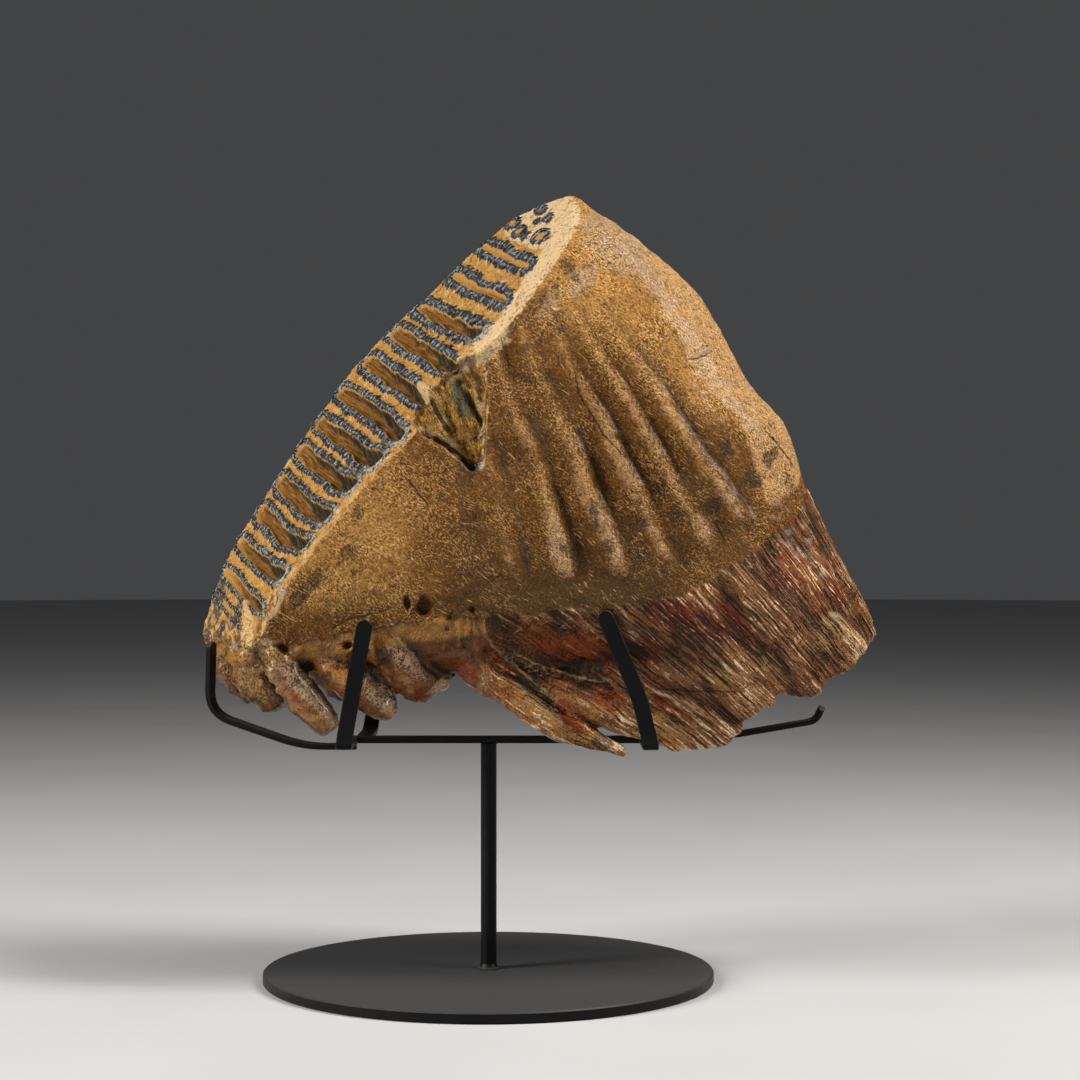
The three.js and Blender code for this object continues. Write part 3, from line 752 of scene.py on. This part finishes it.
class Finish:
    # one procedural material
    def __init__(self, name):
        self.material = bpy.data.materials.new(name)
        self.material.use_nodes = True
        self.tree = self.material.node_tree
        self.shader = self.tree.nodes["Principled BSDF"]

    def add(self, kind, settings=None, sockets=None, output=0):
        node = self.tree.nodes.new("ShaderNode" + kind)
        for name, value in (settings or {}).items():
            setattr(node, name, value)
        for name, value in (sockets or {}).items():
            self.feed(node.inputs[name], value)
        return Wire(node.outputs[output])

    def feed(self, place, value):
        if isinstance(value, Wire):
            self.tree.links.new(value.socket, place)
        elif isinstance(value, tuple) and len(value) == 3 and place.type == "RGBA":
            place.default_value = (*value, 1)
        else:
            place.default_value = value

    def set(self, name, value):
        self.feed(self.shader.inputs[name], value)

    def field(self, name):
        return self.add("Attribute", {"attribute_name": name}, output="Fac")

    def step(self, low, high, value):
        settings = {"interpolation_type": "SMOOTHSTEP"}
        return self.add("MapRange", settings, {"Value": value, "From Min": low, "From Max": high})

    def mix(self, first, second, amount):
        return self.add("Mix", {"data_type": "RGBA"}, {0: amount, 6: first, 7: second}, output=2)

    def places(self):
        # the piece's own coordinates, in millimetres
        where = self.add("TexCoord", output="Object")
        return self.add("VectorMath", {"operation": "SCALE"}, {0: where, "Scale": 1000.0})

    def stretched(self, where, turn, size):
        # turned about y, in degrees, and then divided by the size along each axis
        sockets = {"Vector": where, "Rotation": (0, math.radians(turn), 0), "Scale": size}
        return self.add("Mapping", {"vector_type": "TEXTURE"}, sockets)

    def swirled(self, where, size, amount):
        # places shifted about by a soft noise
        drift = self.add("TexNoise", None, {"Vector": where, "Scale": 1 / size, "Detail": 1.0}, output=1)
        push = (amount, amount, amount)
        return self.add("VectorMath", {"operation": "MULTIPLY_ADD"}, {0: drift, 1: push, 2: where})

    def speckle(self, where, size, detail=3.0, roughness=0.55):
        sockets = {"Vector": where, "Scale": 1 / size, "Detail": detail, "Roughness": roughness}
        return self.add("TexNoise", None, sockets)

    def relief(self, height):
        # height in millimetres
        sockets = {"Height": height, "Distance": 0.001, "Strength": 1.0}
        self.set("Normal", self.add("Bump", None, sockets))


fossilColours = {
    "sideDeep": (0.045, 0.016, 0.002),
    "sideGap": (0.060, 0.020, 0.002),
    "sideMid": (0.155, 0.054, 0.002),
    "sideLight": (0.54, 0.270, 0.066),
    "sideGlint": (0.80, 0.46, 0.17),
    "crest": (0.60, 0.34, 0.15),
    "crestEndHighlight": (0.62, 0.43, 0.28),
    "underRim": (0.46, 0.32, 0.19),
    "hindOchre": (0.60, 0.345, 0.150),
    "rim": (0.56, 0.40, 0.225),
    "cement": (0.41, 0.215, 0.055),
    "cementPale": (0.62, 0.42, 0.19),
    "enamelDark": (0.008, 0.009, 0.011),
    "enamelGrey": (0.028, 0.032, 0.038),
    "enamelLight": (0.36, 0.40, 0.42),
    "enamelWhite": (0.46, 0.45, 0.38),
    "basin": (0.195, 0.083, 0.015),
    "basinBrown": (0.060, 0.024, 0.006),
    "wallDark": (0.013, 0.010, 0.006),
    "wallOlive": (0.070, 0.058, 0.034),
    "khaki": (0.072, 0.034, 0.004),
    "rootTan": (0.335, 0.158, 0.051),
    "rootPaleGlint": (0.72, 0.51, 0.34),
    "rootCrest": (0.120, 0.042, 0.016),
    "rootGroove": (0.017, 0.008, 0.005),
    "tan": (0.29, 0.170, 0.055),
    "web": (0.27, 0.125, 0.022),
    "fingerTop": (0.28, 0.170, 0.098),
    "fingerPore": (0.034, 0.015, 0.007),
    "fingerFlank": (0.135, 0.045, 0.008),
    "hollow": (0.118, 0.031, 0.003),
    "flank": (0.27, 0.115, 0.028),
    "gap": (0.014, 0.005, 0.001),
    "maroon": (0.140, 0.019, 0.008),
    "rust": (0.150, 0.021, 0.001),
    "dark": (0.022, 0.014, 0.008),
    "pale": (0.56, 0.40, 0.22),
    "chip": (0.53, 0.27, 0.052),
    "chipGrey": (0.17, 0.155, 0.085),
}

# Sizes of the fossil's grain, in millimetres; a turned grain is its turn in degrees and its size
# along each axis, and a bend is its size and how far it pushes
fossilGrain = {
    "broad": 34,
    "patchy": 15,
    "blotch": 9,
    "mottle": 3.2,
    "comb": 1.25,
    "grit": 0.8,
    "weave": 4,
    "fibreBend": (11, 2.5),
    "fibre": (42, (1.15, 0.7, 0.42)),
    "crossFibre": (-25, (1.0, 0.7, 0.42)),
    "scratchBend": (15, 9),
    "scratch": (38, (4.5, 2, 0.5)),
    "wrinkle": (14, (9, 6, 3)),
    "fold": (50, (9, 7, 5)),
    "streak": (-16, (1.7, 4, 12)),
    # these lie flat along a rib, a plate or a split, as (size across, size along)
    "rootStripe": (1.9, 40),
    "rootThread": (0.62, 15),
    "splinter": (2.6, 11),
    "plateFibre": (1 / 1.6, 1),
    "plateComb": (1 / 0.3, 1 / 8),
}

fossilGloss = {
    "roughness": 0.56,
    "rootGloss": 0.16,    # how much smoother the roots are
    "enamelGloss": 0.24,  # and the enamel
    "reflection": 0.22,
    "tint": (1.0, 0.74, 0.45, 1),
    "coat": 0.10,
    "leftRootCoat": 0.25,
    "coatRoughness": 0.20,
}


class FossilFinish(Finish):
    # the tooth's material, with one method per kind of surface; tones are given by name
    def __init__(self):
        super().__init__("fossil")
        size = fossilGrain
        where = self.where = self.places()
        self.broad = self.speckle(where, size["broad"], 2)
        blotch = self.blotch = self.speckle(where, size["blotch"], 4, 0.6)
        mottle = self.mottle = self.speckle(where, size["mottle"], 4, 0.65)
        self.grit = self.speckle(where, size["grit"], 2, 0.6)
        self.dent = self.field("dent")
        self.left = self.field("left")
        self.chip = self.field("chip")

        # two crossing directions of fibre
        bent = self.swirled(where, *size["fibreBend"])
        slanting = self.speckle(self.stretched(bent, *size["fibre"]), 1, 2, 0.7)
        crossing = self.speckle(self.stretched(bent, *size["crossFibre"]), 1, 2, 0.7)
        weave = self.step(0.54, 0.64, self.speckle(where, size["weave"], 1))
        self.mat = slanting + (crossing - slanting) * weave
        # low fibres are darkened, partly as dark grain and partly as painted shade; raised fibres are
        # lightened as painted glints
        self.gaps = self.step(0.50, 0.42, self.mat)
        self.glints = self.step(0.53, 0.61, self.mat)

        # ribs of the right roots, as long stripes with finer threads
        fanAcross = self.field("fanAcross") + 2.0 * (blotch - 0.5)
        fanAlong = self.field("fanAlong")
        self.stripe = self.speckle(self.flat(fanAcross, fanAlong, size["rootStripe"]), 1, 2, 0.6)
        self.thread = self.speckle(self.flat(fanAcross, fanAlong, size["rootThread"]), 1, 2, 0.65)
        self.smooth = self.patch("smooth", 0.25, 0.8, blotch, 0.6)
        self.ribbed = 1 - 0.65 * self.smooth
        rootWay = self.field("root") + 0.9 * (self.stripe - 0.5) * (1 - self.left)
        self.rootEdge = self.step(0.3, 0.7, rootWay)

        # painted marks
        self.khaki = self.patch("khaki", 0.3, 0.75, blotch, 0.6)
        self.rust = self.patch("rust", 0.3, 0.75, blotch, 0.6)
        self.tan = self.patch("tan", 0.3, 0.75, blotch, 0.6)
        self.stain = self.patch("dark", 0.35, 0.65, mottle, 2.2)
        self.ochre = self.patch("ochre", 0.4, 0.7, mottle, 0.6)
        self.ochreTone = self.mix("cement", "web", self.step(0.50, 0.60, self.grit))
        pale = self.patch("pale", 0.3, 0.75, mottle, 0.9)
        self.pale = pale * (0.55 + 0.35 * self.step(0.40, 0.60, self.grit))

        # dark hairline wrinkles, mostly level, and the creases beside the ridges, whose dark lines are
        # painted shade
        wrinkle = self.speckle(self.stretched(where, *size["wrinkle"]), 1, 3, 0.6)
        self.wrinkle = self.step(0.016, 0.0, abs(wrinkle - 0.5)) * self.step(0.50, 0.62, blotch)
        self.creased = abs(self.field("part") + 0.04 * (blotch - 0.5) - (1 - crown["steepPart"]))
        self.creaseFade = self.field("creaseFade")
        line = abs(self.field("crackSide") + 2.0 * (mottle - 0.5)) - 0.6 * self.chip
        crack = self.field("crackFade") * self.step(0.50, 0.12, line) * self.step(0.36, 0.5, blotch)
        # a dark line in the crease beside a ridge is painted shade, added to the cracks
        split = self.creaseFade * self.step(0.035, 0.010, self.creased) * self.step(0.50, 0.60, blotch)
        self.crack = crack + split
        broken = self.flat(self.field("splitAcross"), self.field("splitAlong"), size["splinter"])
        self.splinter = self.speckle(broken, 1, 4, 0.65)

        # chewing face: where enamel (band) and the dentine inside it (core) lie
        face = self.face = self.field("face")
        across = self.field("acrossPlate")
        along = self.field("alongPlate")
        self.fibre = self.speckle(self.flat(across, along, size["plateFibre"]), 1, 4, 0.6)
        self.comb = self.speckle(self.flat(across, along, size["plateComb"]), 1, 2, 0.5)
        teeth = self.speckle(where, size["comb"], 2, 0.5)
        self.edge = self.field("loop") + 2.2 * (self.comb - 0.5) + 1.6 * (teeth - 0.5)
        self.enamelWidth = self.field("enamel")
        self.band = self.step(0.12, -0.12, self.edge)
        self.core = self.step(0.12, -0.12, self.edge + self.enamelWidth - 2.2 * (self.comb - 0.5))
        self.faceEdge = self.step(0.3, 0.7, face + 0.6 * (mottle - 0.5))

    def mix(self, first, second, amount):
        first, second = (fossilColours.get(tone, tone) for tone in (first, second))
        return super().mix(first, second, amount)

    def layered(self, base, layers):
        # each layer is a tone and how much of it shows
        for tone, share in layers:
            base = self.mix(base, tone, share)
        return base

    def patch(self, name, low, high, breakUp, amount):
        # a painted mark with an edge that noise breaks up
        return self.step(low, high, self.field(name) + amount * (breakUp - 0.5))

    def flat(self, across, along, size):
        return self.add("CombineXYZ", None, {"X": across / size[0], "Y": along / size[1]})

    def crownTone(self):
        # brown ground, ochre towards the hind end, a mat of fine fibres with painted glints and shade,
        # painted highlights on the ridge crests and painted shade in their creases
        where, blotch, mottle = self.where, self.blotch, self.mottle
        ridge = self.field("ridge")
        # the ridge term makes crests lighter and valleys darker as painted light and shade; lift adds
        # painted shade low in the middle
        tone = 0.45 * self.broad + 0.45 * blotch + 0.26 * ridge + 0.42 * self.field("lift")
        patchy = self.step(0.42, 0.60, self.speckle(where, fossilGrain["patchy"], 4, 0.65))
        gapShare = (0.97 - 0.17 * self.step(0.4, 0.9, tone)) * (0.6 + 0.4 * patchy)
        glintShare = (0.45 + 0.50 * self.step(0.3, 0.9, tone)) * (1 - 0.45 * self.khaki)
        bent = self.swirled(where, *fossilGrain["scratchBend"])
        scratchWay = self.stretched(bent, *fossilGrain["scratch"])
        scratch = self.step(0.64, 0.72, self.speckle(scratchWay, 1, 2, 0.5))
        ground = self.mix("sideDeep", "sideMid", self.step(0.24, 0.50, tone))
        return self.layered(ground, [
            ("sideLight", self.step(0.54, 0.98, tone)),
            ("hindOchre", self.patch("hindward", 0.25, 0.8, blotch, 0.5)),
            ("underRim", 0.8 * self.patch("underRim", 0.2, 0.9, blotch, 0.8)),
            ("khaki", 0.68 * self.khaki),
            # painted highlight on the ridge crests
            ("crest", 0.60 * self.step(0.16, 0.55, ridge + 0.6 * (mottle - 0.5))),
            ("sideDeep", 0.45 * self.step(0.47, 0.34, mottle)),
            # dark low fibres: partly dark grain, partly painted shade
            ("sideGap", self.gaps * gapShare),
            # painted highlights on the ridges' lower ends
            ("crestEndHighlight", (0.20 + 0.60 * self.glints) * self.patch("ridgeEnd", 0.45, 1.05, mottle, 1.6)),
            # painted glints on the raised fibres, then bright scratches in the same glint tone
            ("sideGlint", glintShare * (0.3 + 0.7 * patchy) * self.glints),
            ("sideGlint", 0.7 * scratch),
            ("dark", 0.7 * self.wrinkle),
            # painted shade in the crease beside each ridge
            ("sideDeep", 0.6 * self.creaseFade * self.step(0.14, 0.02, self.creased)),
        ])

    def rightRootTone(self):
        # fine pale ribs over maroon grooves, with smooth hollows between the roots; painted shade in the
        # rib valleys and hollow places, painted highlights and sparkle on the crests
        blotch, stripe, thread = self.blotch, self.stripe, self.thread
        rib = self.field("rib")
        maroon = self.patch("maroon", 0.3, 0.8, blotch, 0.5)
        # the rib valleys and the hollow places (dent) pull the tone down towards the dark groove as
        # painted shade
        ribTone = 0.47 + 0.46 * rib + 1.3 * self.ribbed * (stripe - 0.5) + 0.9 * (blotch - 0.5)
        ribTone = ribTone + 2.8 * self.ribbed * (thread - 0.5) + (self.grit - 0.5) - 0.08 * self.dent
        bone = self.mix("rootCrest", "khaki", 0.6 * self.khaki)
        bone = self.layered(bone, [
            ("hollow", 0.85 * self.smooth),
            ("tan", 0.75 * self.tan),
            ("maroon", 0.92 * maroon),
            ("rust", 0.95 * self.rust),
        ])
        # dark grooves: partly dark threads, partly painted shade
        bone = self.mix("rootGroove", bone, self.step(0.18, 0.44, ribTone))
        crestShare = (1 - 0.3 * maroon) * (1 - 0.65 * self.rust)
        crestShare = crestShare * (0.35 + 0.65 * self.step(-0.35, 0.45, rib))
        # painted sparkle highlights along the threads
        spark = self.step(0.57, 0.62, thread) * self.step(0.46, 0.58, self.mottle)
        spark = spark * (self.step(-0.4, 0.1, rib) + 0.6 * maroon)
        return self.layered(bone, [
            ("rootTan", 0.72 * crestShare * self.step(0.48, 0.74, ribTone)),
            # painted highlight on the brightest rib crests
            ("rootPaleGlint", crestShare * self.step(0.90, 1.05, ribTone)),
            ("rootPaleGlint", 0.85 * spark * (1 - 0.5 * self.smooth)),
        ])

    def leftRootTone(self):
        # smooth ochre under the neck, grainy tops lightened where they face up as painted light,
        # red-brown flanks, and painted shade in the gaps and hollows
        blotch, mottle = self.blotch, self.mottle
        web = self.mix("web", "rootCrest", self.step(0.50, 0.70, blotch))
        grains = self.step(0.42, 0.54, 0.5 * self.grit + 0.3 * mottle + 0.2 * blotch)
        top = self.mix("fingerPore", "fingerTop", grains)
        shaded = self.mix("fingerFlank", "gap", self.step(0.48, 0.68, blotch))
        # faces turned up take the lighter grainy top tone, partly the broken tops' own grain and partly
        # painted light from above; the rest takes the shaded flank tone as painted shade
        facing = self.field("upward") + 0.7 * self.field("granular") + 0.6 * (mottle - 0.5)
        finger = self.mix(shaded, top, self.step(-0.1, 0.50, facing))
        smoothFlank = self.mix("flank", "fingerFlank", self.step(0.46, 0.60, mottle))
        flankEdge = self.patch("flank", 0.35, 0.65, mottle, 0.25)
        finger = self.mix(finger, smoothFlank, flankEdge)
        finger = self.mix(web, finger, self.patch("finger", 0.2, 0.8, blotch, 0.5))
        tip = self.step(-2.4, -3.8, self.dent + 1.5 * (mottle - 0.5))
        fold = self.speckle(self.stretched(self.where, *fossilGrain["fold"]), 1, 4, 0.6)
        lump = self.layered(self.mix("fingerFlank", "tan", grains), [
            ("khaki", 0.8 * self.step(0.50, 0.62, blotch)),
            ("gap", 0.9 * self.step(0.020, 0.004, abs(fold - 0.5))),
        ])
        return self.layered(finger, [
            ("pale", 0.5 * tip * (1 - flankEdge)),
            (lump, 0.9 * self.tan),
            # painted shade in the hollows and between the fingers
            ("gap", 0.95 * self.step(-0.1, 1.2, self.dent + 0.8 * (mottle - 0.5))),
            ("rust", self.rust * (0.9 - 0.5 * self.step(0.5, 0.65, mottle))),
        ])

    def chipTone(self):
        # the chip's broken inside, split along the plates, with painted shade in its hollows
        splinter, mottle = self.splinter, self.mottle
        return self.layered(self.mix("chip", "basinBrown", self.step(0.50, 0.66, splinter)), [
            ("cementPale", 0.7 * self.step(0.46, 0.36, splinter)),
            ("chipGrey", self.patch("greyPlate", 0.3, 0.6, mottle, 0.5)),
            ("dark", 0.4 * self.step(0.46, 0.34, mottle)),
            (self.ochreTone, 0.85 * self.ochre),
            ("dark", 0.85 * self.step(0.024, 0.010, abs(splinter - 0.47))),
            # painted shade in the chip's hollows, less under the ochre flap
            ("dark", 0.85 * self.step(0.7, 2.3, self.dent) * (1 - 0.8 * self.ochre)),
        ])

    def bodyTone(self):
        # crown, roots and chip, then stains, lips, cracks with the creases' painted shade, and the pits'
        # painted shade over them
        rootEdge = self.rootEdge
        bone = self.mix(self.rightRootTone(), self.leftRootTone(), self.left)
        lipWay = abs(self.field("lipSide") + 5.0 * (self.mottle - 0.5)) + 0.7 * rootEdge
        lip = self.field("lipFade") * self.step(1.6, 0.3, lipWay)
        halo = self.step(2.6, 0.8, self.field("beyond") + 2.6 * (self.mottle - 0.5))
        return self.layered(self.crownTone(), [
            (bone, rootEdge),
            ("pale", self.pale),
            (self.chipTone(), self.chip),
            ("dark", 0.8 * self.stain * (1 - 0.6 * self.glints)),
            (self.mix("cementPale", "pale", rootEdge), (0.75 - 0.25 * rootEdge) * lip),
            ("dark", 0.9 * self.crack),
            # the pits darken with depth: painted shade
            ("basinBrown", 0.8 * self.step(0.2, 0.9, self.field("hole"))),
            ("rim", 0.5 * halo * (1 - self.chip)),
        ])

    def enamelTone(self):
        mottle, grit = self.mottle, self.grit
        middle = -self.edge / self.enamelWidth
        lines = self.step(0.30, 0.5, middle) * self.step(0.85, 0.6, middle)
        # light flecks where sheen is high: partly the enamel's comb of light lines, partly painted glints
        sheen = 0.55 * self.comb + 0.45 * grit + 0.05 * lines
        whitened = self.field("nearEnd") * self.step(0.40, 0.56, mottle)
        return self.layered(self.mix("enamelDark", "enamelGrey", self.step(0.42, 0.56, mottle)), [
            ("enamelLight", 0.75 * self.step(0.55, 0.61, sheen)),
            ("enamelWhite", 0.7 * whitened * self.step(0.36, 0.54, grit)),
        ])

    def ruinTone(self):
        # the worn-out lower end of the face
        streak = self.speckle(self.stretched(self.where, *fossilGrain["streak"]), 1, 4, 0.65)
        return self.layered(self.mix("web", "cement", self.step(0.44, 0.58, streak)), [
            ("rim", 0.8 * self.step(0.56, 0.66, streak)),
            ("basinBrown", 0.85 * self.step(0.44, 0.38, streak)),
            ("enamelDark", 0.9 * self.step(0.018, 0.008, abs(streak - 0.47))),
            ("enamelWhite", 0.7 * self.step(0.012, 0.004, abs(streak - 0.54))),
            (self.ochreTone, 0.7 * self.ochre),
        ])

    def faceTone(self):
        # cement, toothed enamel with painted glints, hollowed basins with a steep striped wall that is
        # partly painted shade
        blotch, mottle, fibre = self.blotch, self.mottle, self.fibre
        cement = self.mix("cement", "rim", self.patch("margin", 0.2, 0.9, blotch, 0.5))
        cement = self.layered(cement, [
            ("cementPale", 0.6 * self.step(0.52, 0.66, mottle)),
            ("basin", 0.8 * self.step(0.46, 0.32, mottle)),
            ("basinBrown", 0.6 * self.step(0.38, 0.28, self.grit)),
            ("basinBrown", 0.8 * self.step(0.012, 0.0, abs(blotch - 0.44))),
        ])
        # the basin wall: olive stripes on a dark ground, partly its own colour and partly painted shade
        wall = self.mix("wallDark", "wallOlive", self.step(0.50, 0.64, self.comb))
        basin = self.layered(self.mix("basin", "basinBrown", self.step(0.46, 0.64, fibre)), [
            ("cementPale", 0.45 * self.step(0.42, 0.30, fibre)),
            (wall, self.field("wall")),
        ])
        basin = self.mix("cement", basin, self.step(0.1, 0.4, self.field("inner")))
        enamel = self.enamelTone()
        return self.layered(cement, [
            (enamel, self.band),
            (basin, self.core),
            (self.ruinTone(), self.patch("ruin", 0.3, 0.7, mottle, 0.5) * (1 - self.band)),
            ("cementPale", self.pale),
            (enamel, 0.85 * self.stain),
        ])

    def build(self):
        rootEdge, left, mottle = self.rootEdge, self.left, self.mottle
        colour = self.mix(self.bodyTone(), self.faceTone(), self.faceEdge)
        self.set("Base Color", self.mix(colour, "gap", 0.38 * self.step(0.46, 0.34, self.grit)))

        enamelOnly = self.band * (1 - self.core) * self.faceEdge
        roughness = fossilGloss["roughness"] + 0.25 * (mottle - 0.5) - fossilGloss["rootGloss"] * rootEdge
        roughness = roughness - 0.10 * self.glints - 0.12 * self.rust * rootEdge
        self.set("Roughness", roughness - fossilGloss["enamelGloss"] * enamelOnly)
        self.set("Coat Weight", fossilGloss["coat"] + fossilGloss["leftRootCoat"] * rootEdge * left)
        self.shader.inputs["Coat Roughness"].default_value = fossilGloss["coatRoughness"]
        self.shader.inputs["Specular IOR Level"].default_value = fossilGloss["reflection"]
        self.shader.inputs["Specular Tint"].default_value = fossilGloss["tint"]

        crownOnly = (1 - rootEdge) * (1 - 0.75 * self.face)
        height = (1.5 * self.mat + 2.2 * mottle - 0.5 * self.wrinkle) * crownOnly + 0.5 * self.grit
        height = height + rootEdge * (1 - left) * self.ribbed * (3.0 * self.stripe + 1.6 * self.thread)
        height = height + 1.5 * left * mottle
        height = height + self.faceEdge * (0.45 * self.fibre * self.core + 0.5 * self.comb * self.band)
        height = height - 0.5 * self.crack + 1.6 * self.splinter * (self.chip + 0.6 * self.field("ruin"))
        self.relief(height)
        return self.material


steel = {
    "colour": (0.0030, 0.0030, 0.0034),
    "dustAndSheen": (0.042, 0.042, 0.043),
    "peel": 1.4,       # size of the paint's orange peel, in millimetres
    "peelDepth": 0.035,
    "wear": 26,        # size of the places that are worn
    "dustAndSheenSpots": 7,        # and of those where dust and painted sheen lie
    "roughness": 0.36,
    "reflection": 0.15,
}


def steelFinish():
    paint = Finish("blackSteel")
    where = paint.places()
    peel = paint.speckle(where, steel["peel"], 2)
    wear = paint.speckle(where, steel["wear"], 3)
    up = paint.add("SeparateXYZ", None, {0: paint.add("NewGeometry", output="Normal")}, output=2)
    # upward faces turn lighter grey: partly dust, partly a painted sheen of lamp light on the tops
    dustAndSheen = paint.step(0.3, 0.9, up + 0.5 * (paint.speckle(where, steel["dustAndSheenSpots"], 5, 0.7) - 0.5))
    paint.set("Base Color", paint.mix(steel["colour"], steel["dustAndSheen"], dustAndSheen))
    paint.set("Roughness", steel["roughness"] + 0.12 * wear + 0.06 * dustAndSheen)
    paint.relief(steel["peelDepth"] * peel)
    paint.shader.inputs["Specular IOR Level"].default_value = steel["reflection"]
    return paint.material


def buildStand(material):
    for name, node in nodes.items():
        if name == "tooth":
            continue
        node.data.materials.clear()
        node.data.materials.append(material)


camera = {
    "place": (0.020, -0.927, 0.171),
    "lens": 79.27,
    "sensor": 36,
}

studio = {
    "floor": (0.38, 0.38, 0.39),
    "floorPatches": (0.45, 0.45, 0.46),
    "floorPatchSize": 180,    # in millimetres
    "floorRoughness": 0.7,
    "floorRadius": 6.0,
    "floorDrop": 0.0002,      # the floor is this far below the disc
    "wall": (0.62, 0.63, 0.65),
    "wallStrength": 0.09,
    # name: place, width, height, power, colour
    "lamps": {
        "leftKey": ((-0.92, -0.40, 0.66), 0.26, 0.8, 19.0, (1.0, 0.97, 0.93)),
        "rightKey": ((0.72, -0.22, 0.95), 0.26, 0.8, 21.0, (1.0, 0.96, 0.90)),
        "frontFill": ((0.1, -1.5, 0.9), 1.2, 0.8, 1.3, (1.0, 1.0, 1.0)),
    },
    "aim": (0.02, 0.0, 0.19),
}


def buildStudio():
    floorMesh = bpy.data.meshes.new("floor")
    shape = bmesh.new()
    bmesh.ops.create_circle(shape, cap_ends=True, segments=96, radius=studio["floorRadius"])
    shape.to_mesh(floorMesh)
    shape.free()
    floor = newPiece("floor", floorMesh)
    floor.location.z = -studio["floorDrop"]
    matt = Finish("floorMatt")
    softness = matt.speckle(matt.places(), studio["floorPatchSize"], 2)
    matt.set("Base Color", matt.mix(studio["floor"], studio["floorPatches"], softness))
    matt.set("Roughness", studio["floorRoughness"] + 0.1 * softness)
    floor.data.materials.append(matt.material)

    world = bpy.data.worlds.new("studio")
    world.use_nodes = True
    background = world.node_tree.nodes["Background"]
    background.inputs["Color"].default_value = (*studio["wall"], 1)
    background.inputs["Strength"].default_value = studio["wallStrength"]
    bpy.context.scene.world = world

    for name, (place, width, height, power, colour) in studio["lamps"].items():
        light = bpy.data.lights.new(name, "AREA")
        light.shape = "RECTANGLE"
        light.size = width
        light.size_y = height
        light.energy = power
        light.color = colour
        lamp = bpy.data.objects.new(name, light)
        lamp.location = place
        lamp.rotation_euler = (Vector(studio["aim"]) - Vector(place)).to_track_quat("-Z", "Y").to_euler()
        bpy.context.scene.collection.objects.link(lamp)

    lens = bpy.data.cameras.new("camera")
    lens.lens = camera["lens"]
    lens.sensor_width = camera["sensor"]
    view = bpy.data.objects.new("camera", lens)
    view.location = camera["place"]
    view.rotation_euler = (math.radians(90), 0, 0)
    bpy.context.scene.collection.objects.link(view)
    bpy.context.scene.camera = view
    bpy.context.scene.view_settings.view_transform = "Standard"


tooth = buildTooth()
tooth.data.materials.append(FossilFinish().build())
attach(tooth, "root")
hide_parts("tooth")
print("tooth finished")
buildStand(steelFinish())
print("stand finished")
buildStudio()
print("studio ready")
